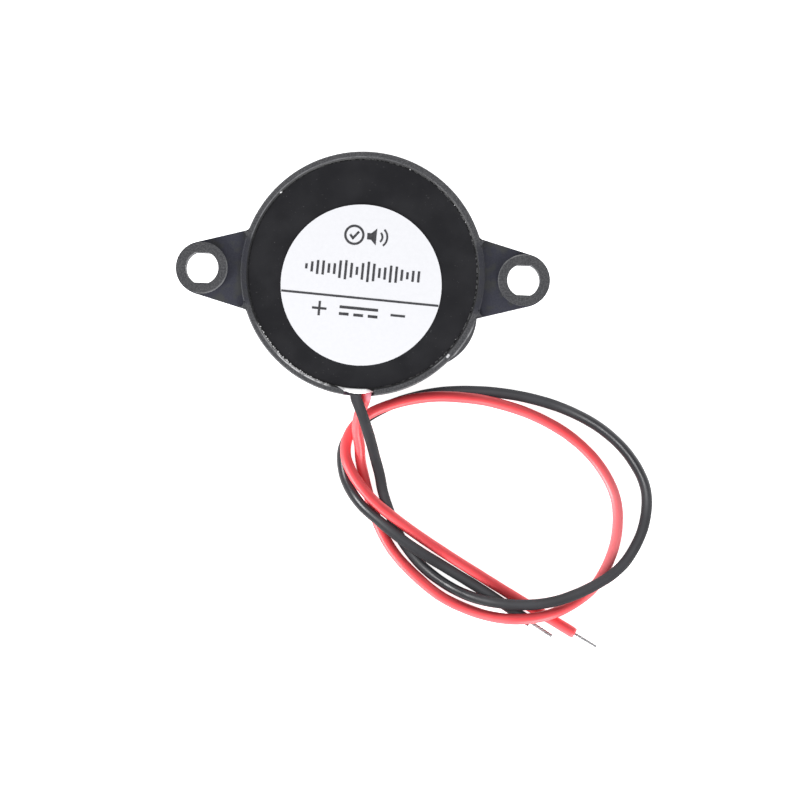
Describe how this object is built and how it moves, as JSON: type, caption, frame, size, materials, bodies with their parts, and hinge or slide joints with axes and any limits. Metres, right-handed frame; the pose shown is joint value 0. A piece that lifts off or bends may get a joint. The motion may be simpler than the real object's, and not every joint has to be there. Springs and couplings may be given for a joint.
{
  "type": "piezo buzzer",
  "caption": "Round black active piezo buzzer with a mounting ear on each side, a glued back cover with a paper label, and a red and a black flying lead.",
  "frame": {"origin": "middle of the round front face, the one with the sound hole, which the buzzer stands on", "axes": "+Z out of the labelled back, +X through the middle of one mounting hole, and the two leads leave towards -Y"},
  "size_m": [0.061, 0.0615, 0.01],
  "materials": {
    "housing": "fine matt moulded plastic, dark grey",
    "cover": "smooth, nearly black plastic with a soft sheen",
    "glue": "thin glue line, whitish in places",
    "label": "smooth white paper with dark grey print",
    "sealant": "white silicone sealant",
    "diaphragm": "thin rolled brass",
    "piezo_ceramic": "unglazed cream ceramic",
    "silver": "matt fired silver film",
    "inner_glue": "translucent silicone glue",
    "solder": "shiny tin solder",
    "red_insulation": "red soft insulation with a light sheen",
    "black_insulation": "black soft insulation with a light sheen",
    "blue_insulation": "thin blue insulation",
    "circuit_board": "green solder mask",
    "chip_case": "black moulded case with tinned legs",
    "resistor": "black chip with tinned ends",
    "ferrite": "dull grey ferrite",
    "winding": "enamelled copper wire",
    "tinned_copper": "tinned stranded copper"
  },
  "bodies": {
    "root": {"housing": "housing", "back_cover": "cover", "cover_glue": "glue", "label": "label", "lead_sealant": "sealant", "diaphragm": "diaphragm", "ceramic_disc": "piezo_ceramic", "drive_electrode": "silver", "feedback_electrode": "silver", "diaphragm_glue": "inner_glue", "disc_solder": "solder", "ground_wire": "black_insulation", "drive_wire": "red_insulation", "feedback_wire": "blue_insulation", "circuit_board": "circuit_board", "board_solder": "solder", "transistor": "chip_case", "base_resistor": "resistor", "feedback_resistor": "resistor", "coil_core": "ferrite", "coil_winding": "winding", "red_lead": "red_insulation", "black_lead": "black_insulation", "red_lead_core": "tinned_copper", "black_lead_core": "tinned_copper", "red_lead_tip": "tinned_copper", "black_lead_tip": "tinned_copper"}
  },
  "joints": []
}
